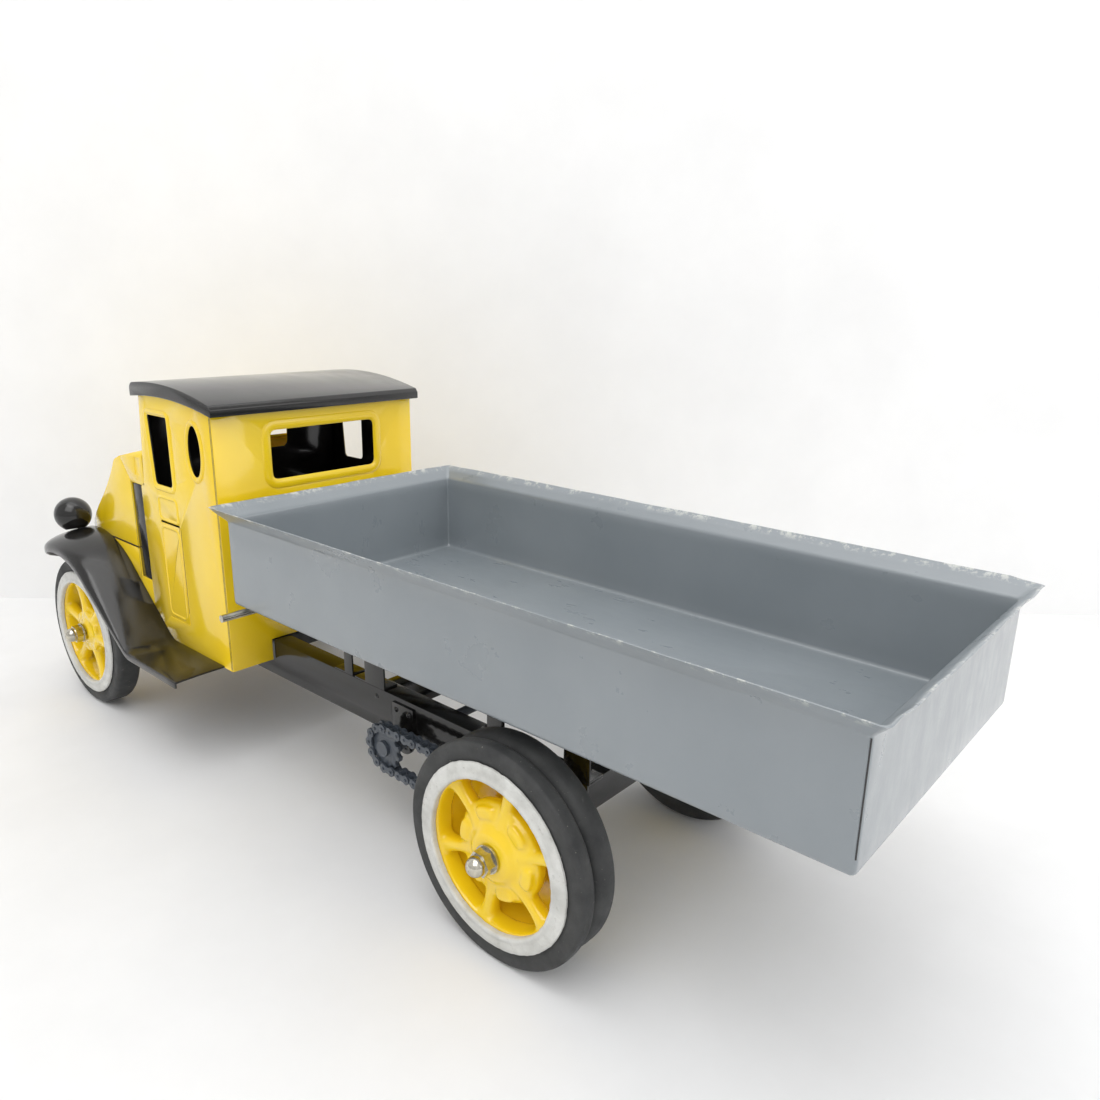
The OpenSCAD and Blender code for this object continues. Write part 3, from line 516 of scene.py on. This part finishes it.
# name, line of (ahead of the rear axle, height) points, width
CAB_SEAM_SHADOWS = (("cab_corner_seam_", [(249.4, z) for z in (66, 110, 160, 205, 228)], 0.75),
             ("door_seam_", [(299.2, z) for z in (92, 120, 150)], 0.6),
             ("hood_seam_", [(ahead, 125.3) for ahead in (366, 390, 412)], 0.9),
             ("cowl_seam_", [(365.6, z) for z in (103, 140, 173)], 0.5))
for side, word in SIDES:
    for name, line, width in CAB_SEAM_SHADOWS:
        seam_shadow(name + word, in_plane(line, side * (CAB_Y + SEAM_SHADOW_PROUD)), (0, side, 0), "chassis", width)


# ---- Fenders ----

def build_fender(word):
    """The CAD fender's sheet with smooth shading along its sweep and rounded edges."""
    node = "fender_" + word
    source = NODES[node]
    mesh = source.data.copy()
    obj = new_piece(node + "_pressed", mesh, "chassis", "black_enamel", [node])
    work = bmesh.new()
    work.from_mesh(mesh)
    bmesh.ops.remove_doubles(work, verts=work.verts, dist=1e-6)
    work.to_mesh(mesh)
    work.free()
    smooth_by_angle(mesh, 38)
    edge = obj.modifiers.new("edge", "BEVEL")
    edge.width = 0.3 * MM
    edge.segments = 2
    edge.limit_method = "ANGLE"
    edge.angle_limit = math.radians(50)
    apply_modifiers(obj)
    smooth_by_angle(obj.data, 42)
    dress(obj, "black_enamel")
    return obj


for word in ("left", "right"):
    build_fender(word)


# ---- Wheel castings ----

def revolve(points, steps=96, closed=False):
    """A ring of quads from a profile of (radius, axial) points; returns verts and faces about the z axis."""
    verts, faces = [], []
    for i in range(steps):
        angle = math.tau * i / steps
        for radius, height in points:
            verts.append(Vector((radius * math.cos(angle), radius * math.sin(angle), height)))
    count = len(points)
    for i in range(steps):
        j = (i + 1) % steps
        for k in range(count if closed else count - 1):
            m = (k + 1) % count
            faces.append((i * count + k, j * count + k, j * count + m, i * count + m))
    return verts, faces


def loft(sections, cap=True):
    """A tube through rings of points that all have the same count."""
    verts, faces = [], []
    count = len(sections[0])
    for ring in sections:
        verts += ring
    for s in range(len(sections) - 1):
        for k in range(count):
            m = (k + 1) % count
            faces.append((s * count + k, s * count + m, (s + 1) * count + m, (s + 1) * count + k))
    if cap:
        faces.append(tuple(range(count))[::-1])
        faces.append(tuple(range((len(sections) - 1) * count, len(sections) * count)))
    return verts, faces


def squared(turn, power):
    """Cosine and sine of a turn raised to a power with their signs kept: a circle pushed toward a square."""
    cosine, sine = math.cos(turn), math.sin(turn)
    return math.copysign(abs(cosine) ** power, cosine), math.copysign(abs(sine) ** power, sine)


def spoke(angle, inner, outer, mid_half, end_half, thick, height):
    """One cast spoke: thick at the hub, waisted in the middle and flared into the rim."""
    sections = []
    stations, points_round = 12, 16
    for k in range(stations + 1):
        t = k / stations
        radius = inner + (outer - inner) * t
        flare = abs(2 * t - 1) ** 2.6
        half = mid_half + (end_half - mid_half) * flare * (1.15 if t > 0.5 else 0.8)
        deep = thick * (1 + 0.35 * flare)
        ring = []
        for m in range(points_round):
            across, up = squared(math.tau * m / points_round, 0.8)
            across *= half
            up *= deep
            ring.append(Vector((radius * math.cos(angle) - across * math.sin(angle),
                                radius * math.sin(angle) + across * math.cos(angle), height + up)))
        sections.append(ring)
    return loft(sections)


def raised_pad(angle, hub_r, spoke_z):
    """A cast pad between two spokes on the hub, as a loft that narrows at its top."""
    middle = hub_r * 0.79
    points_round = 20
    rings = []
    for height, grow in ((-2, 1.0), (3.8, 1.0), (5.0, 0.9), (5.5, 0.7)):
        ring = []
        for m in range(points_round):
            radial, sweep = squared(math.tau * m / points_round, 0.55)
            radius = middle + radial * hub_r * 0.13 * grow
            turned = angle + sweep * 0.3 * grow
            ring.append(Vector((radius * math.cos(turned), radius * math.sin(turned), spoke_z + height)))
        rings.append(ring)
    return loft(rings)


def solid_mesh(name, verts, faces):
    """A mesh whose normals all point outward."""
    mesh = bpy.data.meshes.new(name)
    mesh.from_pydata(verts, [], faces)
    work = bmesh.new()
    work.from_mesh(mesh)
    bmesh.ops.recalc_face_normals(work, faces=work.faces)
    work.to_mesh(mesh)
    work.free()
    return mesh


SPOKES = 6
SPOKE_OUTER = 39.5
SPOKE_THICK = 4.0
BORE = 4.05
HUB_TOP = -1.3


def casting(axle, sign, body, node, hub_r, spoke_z, spoke_half, phase, hub_z, barrel_z, face_y):
    """A spoked wheel casting, fused from its parts by a fine remesh so that every joint has a cast fillet.

    Heights along the axle are measured from the wheel's outer face.
    """
    parts = []
    dome_r = hub_r * 0.6
    barrel = [(36.5, barrel_z), (43.7, barrel_z), (43.7, -3.2), (38.0, -3.2), (37.2, -5.5)]
    parts.append(revolve(barrel, closed=True))
    hub = [(BORE, hub_z), (9, hub_z), (10.5, spoke_z - 7), (hub_r - 1.5, spoke_z - 5), (hub_r, spoke_z - 2),
           (hub_r - 0.3, spoke_z + 1.5), (hub_r - 2.5, spoke_z + 3.2), (dome_r + 4, spoke_z + 3.8),
           (dome_r + 0.6, spoke_z + 4.6), (dome_r - 1.4, HUB_TOP - 2.4), (dome_r - 3.6, HUB_TOP - 0.6),
           (dome_r - 6.5, HUB_TOP), (BORE, HUB_TOP)]
    parts.append(revolve(hub, closed=True))
    step = math.tau / SPOKES
    for k in range(SPOKES):
        parts.append(spoke(phase + k * step, hub_r * 0.62, SPOKE_OUTER, spoke_half * 0.92, spoke_half * 1.75,
                           SPOKE_THICK, spoke_z))
        parts.append(raised_pad(phase + (k + 0.5) * step, hub_r, spoke_z))
    verts, faces = [], []
    for part_verts, part_faces in parts:
        start = len(verts)
        verts += part_verts
        faces += [tuple(v + start for v in face) for face in part_faces]
    placed = [Vector((axle.x + v.x, sign * (face_y + v.z), axle.z + v.y)) * MM for v in verts]
    if sign > 0:
        faces = [face[::-1] for face in faces]
    mesh = solid_mesh(node + "_cast", placed, faces)
    obj = new_piece(node + "_cast", mesh, body, "yellow_enamel", [node])
    melt = obj.modifiers.new("melt", "REMESH")
    melt.mode = "VOXEL"
    melt.voxel_size = 0.8 * MM
    melt.use_smooth_shade = True
    relax = obj.modifiers.new("relax", "SMOOTH")
    relax.factor = 0.6
    relax.iterations = 5
    apply_modifiers(obj)
    for face in obj.data.polygons:
        face.use_smooth = True
    dress(obj, "yellow_enamel")
    return obj


# the rear wheels are turned as they stand in the photo; the front ones are a guess
REAR_PHASE = math.radians(41.5)
FRONT_PHASE = math.radians(12)
REAR_FACE = limits("rear_trim_left")[1].y
FRONT_FACE = limits("front_trim_left")[1].y
for sign, word in SIDES:
    casting(REAR, sign, "rear_wheel_%s_body" % word, "rear_wheel_" + word, hub_r=25.3, spoke_z=-9.5,
            spoke_half=3.6, phase=REAR_PHASE, hub_z=-28, barrel_z=-12.9, face_y=REAR_FACE)
    casting(FRONT, sign, "front_wheel_%s_body" % word, "front_wheel_" + word, hub_r=17.5, spoke_z=-9,
            spoke_half=3.9, phase=FRONT_PHASE, hub_z=-21, barrel_z=-19, face_y=FRONT_FACE)


def ring_piece(name, node, body, slot, axle, sign, face_y, section, wobble=0.0, steps=160):
    """A closed ring swept round an axle from (radius, axial) points, with an optional hand-worked wobble."""
    verts, faces = revolve(section, steps, closed=True)
    placed = []
    for v in verts:
        radius = math.hypot(v.x, v.y)
        stir = noise.noise(Vector((v.x * 0.35, v.y * 0.35, axle.x + sign * 9))) * wobble
        scale = 1 + stir / radius
        placed.append(Vector((axle.x + v.x * scale, sign * (face_y + v.z), axle.z + v.y * scale)) * MM)
    mesh = solid_mesh(name, placed, faces)
    smooth_by_angle(mesh, 48)
    return new_piece(name, mesh, body, slot, [node])


def arc_points(cx, cy, radius, start, end, steps):
    """(radius, axial) points along an arc, with its angles in degrees."""
    span = [math.radians(start + (end - start) * k / steps) for k in range(steps + 1)]
    return [(cx + radius * math.cos(a), cy + radius * math.sin(a)) for a in span]


def tyre_section(z0, z1, outer_r, inner_shoulder, outer_shoulder):
    """Solid rubber: a flat sidewall with a moulded step, crisp outside shoulder and crowned tread."""
    bore = 44.1
    return ([(bore, z0 + 0.4), (bore + 1, z0)]
            + arc_points(outer_r - inner_shoulder, z0 + inner_shoulder, inner_shoulder, -90, 0, 8)
            + arc_points(outer_r - outer_shoulder, z1 - outer_shoulder, outer_shoulder, 0, 90, 8)
            + [(47.4, z1), (46.9, z1 - 0.35), (46.2, z1 - 0.35), (bore, z1 - 0.35)])


TRIM_SECTION = [(37.8, -3.0), (43.8, -3.0), (43.9, -2.1), (46.1, -2.1), (46.0, -1.3), (45.2, -0.75),
                (43.0, -0.55), (41.4, -0.7), (40.6, -0.6), (39.9, -0.12), (39.0, 0.0), (38.2, -0.25),
                (37.8, -0.9)]
TRIM_WOBBLE = 0.35
TYRE_FACE = -2.2
OUTER_SECTION = tyre_section(-13.0, TYRE_FACE, TYRE_R, 6.0, 2.2)
INNER_SECTION = tyre_section(-26.0, -13.6, TYRE_R - 0.6, 3.0, 6.0)
FRONT_SECTION = tyre_section(-19.0, TYRE_FACE, TYRE_R, 4.2, 3.2)
REAR_WHEEL = (REAR, REAR_FACE, "rear_wheel_%s_body")
FRONT_WHEEL = (FRONT, FRONT_FACE, "front_wheel_%s_body")
# piece, CAD node, wheel, section, material, wobble
WHEEL_RINGS = (("rear_outer_rubber_", "rear_outer_tyre_", REAR_WHEEL, OUTER_SECTION, "tyre_rubber", 0.0),
               ("rear_inner_rubber_", "rear_inner_tyre_", REAR_WHEEL, INNER_SECTION, "tyre_rubber", 0.0),
               ("front_rubber_", "front_tyre_", FRONT_WHEEL, FRONT_SECTION, "tyre_rubber", 0.0),
               ("rear_trim_ring_", "rear_trim_", REAR_WHEEL, TRIM_SECTION, "trim_paint", TRIM_WOBBLE),
               ("front_trim_ring_", "front_trim_", FRONT_WHEEL, TRIM_SECTION, "trim_paint", TRIM_WOBBLE))
for sign, word in SIDES:
    for piece, node, (axle, face_y, body), section, slot, wobble in WHEEL_RINGS:
        ring_piece(piece + word, node + word, body % word, slot, axle, sign, face_y, section, wobble)


# ---- Bed: one folded sheet with a flared, hand-worked rim ----

BED_FLARE = 8.0


def build_bed():
    """The tray as nested rounded loops, from the outside bottom over the rim and down inside."""
    low, high = limits("bed_tray")
    flare = BED_FLARE
    x0, x1, y1 = low.x + flare, high.x - flare, high.y - flare
    z0, z1 = low.z, high.z
    sheet = 1.2
    rim_height = 8
    bend_z = z1 - rim_height
    long_steps, wide_steps, corner_steps = 60, 30, 6

    def loop(grow, radius):
        """Points round the tray, anticlockwise from above, with rounded corners."""
        ax0, ax1, ay = x0 - grow, x1 + grow, y1 + grow
        points = []
        corners = (((ax1 - radius, -ay + radius), -90), ((ax1 - radius, ay - radius), 0),
                   ((ax0 + radius, ay - radius), 90), ((ax0 + radius, -ay + radius), 180))
        for index, ((cx, cy), start) in enumerate(corners):
            for k in range(corner_steps + 1):
                angle = math.radians(start + 90 * k / corner_steps)
                points.append(Vector((cx + radius * math.cos(angle), cy + radius * math.sin(angle), 0)))
            (next_x, next_y), next_start = corners[(index + 1) % 4]
            next_angle = math.radians(next_start)
            a = points[-1]
            b = Vector((next_x + radius * math.cos(next_angle), next_y + radius * math.sin(next_angle), 0))
            steps = long_steps if index % 2 else wide_steps
            for k in range(1, steps):
                points.append(a.lerp(b, k / steps))
        return points

    # (growth outward, height, corner radius) of each loop
    profile = [(-2.2, z0, 1.2), (-0.9, z0 + 0.35, 1.5), (-0.25, z0 + 1.1, 1.8), (0, z0 + 2.4, 2.0)]
    wall_rows = 8
    for k in range(1, wall_rows + 1):
        profile.append((0, z0 + 2.4 + (bend_z - 1.5 - z0 - 2.4) * k / wall_rows, 2.0))
    profile += [(0.3, bend_z - 0.6, 2.2), (1.2, bend_z + 0.4, 2.4), (flare * 0.55, bend_z + 3.6, 2.6),
                (flare - 0.5, z1 - 0.75, 2.8), (flare - 0.1, z1 - 0.25, 2.8), (flare - 0.45, z1, 2.8),
                (flare - 1.2, z1 - 0.3, 2.8), (flare * 0.5 - 0.9, bend_z + 4.1, 2.4),
                (0.3, bend_z + 1.3, 1.9),
                (-0.8, bend_z + 0.3, 1.4), (-sheet, bend_z - 0.8, 1.2)]
    for k in range(1, wall_rows + 1):
        profile.append((-sheet, bend_z - 0.8 + (z0 + sheet + 2.4 - bend_z + 0.8) * k / wall_rows, 1.2))
    profile += [(-sheet - 0.4, z0 + sheet + 0.9, 1.4), (-sheet - 1.4, z0 + sheet + 0.2, 1.6),
                (-sheet - 3.0, z0 + sheet, 1.6)]
    verts, faces = [], []
    rings = []
    for grow, z, radius in profile:
        ring = []
        for point in loop(grow, radius):
            ring.append(len(verts))
            verts.append(Vector((point.x, point.y, z)))
        rings.append(ring)
    count = len(rings[0])
    for a, b in zip(rings, rings[1:]):
        for k in range(count):
            m = (k + 1) % count
            faces.append((a[k], a[m], b[m], b[k]))
    rim_rows = {i for i, row in enumerate(profile) if row[1] > bend_z + 0.2}

    for row, ring in enumerate(rings):
        in_rim = row in rim_rows
        lift = max(0.0, (profile[row][1] - bend_z) / rim_height)
        for index in ring:
            v = verts[index]
            slow = noise.noise(Vector((v.x * 0.012, v.y * 0.012, v.z * 0.006)))
            outward = Vector((0, 0, 0))
            if abs(v.y) > y1 - 4:
                outward.y = math.copysign(1, v.y)
            if v.x < x0 + 4:
                outward.x = -1
            if v.x > x1 - 4:
                outward.x = 1
            wall = min(1.0, (v.z - z0) / 25)
            push = 0.35 * slow * wall
            if in_rim:
                ripple = noise.noise(Vector((v.x * 0.035 + 7, v.y * 0.05, 1.5)))
                at_tail = v.x < x0 + 4
                push -= lift * (0.5 + 0.5 * abs(ripple)) * (1.6 if at_tail else 0.8)
                v.z -= lift * (0.4 * abs(ripple) + (2.2 * (0.5 + ripple) if at_tail else 0.15))
            dent = math.exp(-((v.x - (x0 + 38)) / 7) ** 2 - ((v.z - (bend_z - 5)) / 6) ** 2)
            if v.y > y1 - 4:
                push -= 1.3 * dent
            if row:
                v.x += outward.x * min(push, 0)
                v.y += outward.y * min(push, 0)
    faces.append(tuple(rings[0][::-1]))
    faces.append(tuple(rings[-1]))
    mesh = solid_mesh("bed_tray_folded", [v * MM for v in verts], faces)
    smooth_by_angle(mesh, 50)
    return new_piece("bed_tray_folded", mesh, "bed", "bed_enamel", ["bed_tray"])


build_bed()
BED_LOW, BED_HIGH = limits("bed_tray")
SEAM_X = BED_LOW.x + BED_FLARE - 0.02 + 0.5
SEAM_Y = BED_HIGH.y - BED_FLARE - 0.45
SEAM_HEIGHTS = (BED_LOW.z + 7, BED_LOW.z + 20, BED_LOW.z + 34, BED_HIGH.z - 9.5)
# painted shade: a black strip down each rear corner of the bed stands for the shadow in the seam's groove
for side, word in SIDES:
    seam_shadow("bed_corner_seam_" + word, [(SEAM_X, side * SEAM_Y, z) for z in SEAM_HEIGHTS],
         (-1, 0.9 * side, 0), "bed", 0.6)


# ---- Stage ----

def add_stage(forward, place):
    """A pale floor and a paler backdrop that stands behind the truck, square to the view."""
    flat = Vector((forward.x, forward.y, 0)).normalized()
    side = Vector((-flat.y, flat.x, 0))
    camera_foot = (Vector((REAR.x, 0, 0)) + Vector((place.x, place.y, 0))) * MM
    line = camera_foot + flat * 0.83
    half, near, tall = 4.0, 4.0, 3.0
    mesh = bpy.data.meshes.new("floor")
    mesh.from_pydata([line - side * half - flat * near, line + side * half - flat * near,
                      line + side * half, line - side * half], [], [(0, 1, 2, 3)])
    floor = bpy.data.objects.new("floor", mesh)
    wall_mesh = bpy.data.meshes.new("backdrop")
    up = Vector((0, 0, tall))
    wall_mesh.from_pydata([line - side * half, line + side * half,
                           line + side * half + up, line - side * half + up], [], [(0, 1, 2, 3)])
    wall = bpy.data.objects.new("backdrop", wall_mesh)
    for obj, tone in ((floor, 0.82), (wall, 0.90)):
        bpy.context.scene.collection.objects.link(obj)
        material, tree, shader = node_material(obj.name)
        clouded = ramp(tree, noise_fac(tree, 9, 6, 0.6), [(0.3, tone - 0.03), (0.7, tone + 0.02)])
        tree.links.new(clouded, shader.inputs["Base Color"])
        shader.inputs["Roughness"].default_value = 0.75
        obj.data.materials.append(material)


forward, place = add_camera()
add_stage(forward, place)
area_light("key", (-0.5, 0.9, 1.6), (0, 0, 0.1), (1.4, 1.4), 12)
area_light("overhead", (0.1, 0.0, 1.7), (0, 0, 0), (1.6, 1.2), 9)
area_light("fill", (-1.3, -0.4, 0.8), (0, 0, 0.1), (1.0, 1.0), 4)
world = bpy.data.worlds.new("studio")
bpy.context.scene.world = world
world.use_nodes = True
world.node_tree.nodes["Background"].inputs["Color"].default_value = (1, 1, 1, 1)
world.node_tree.nodes["Background"].inputs["Strength"].default_value = 0.7
bpy.context.scene.view_settings.view_transform = "Standard"
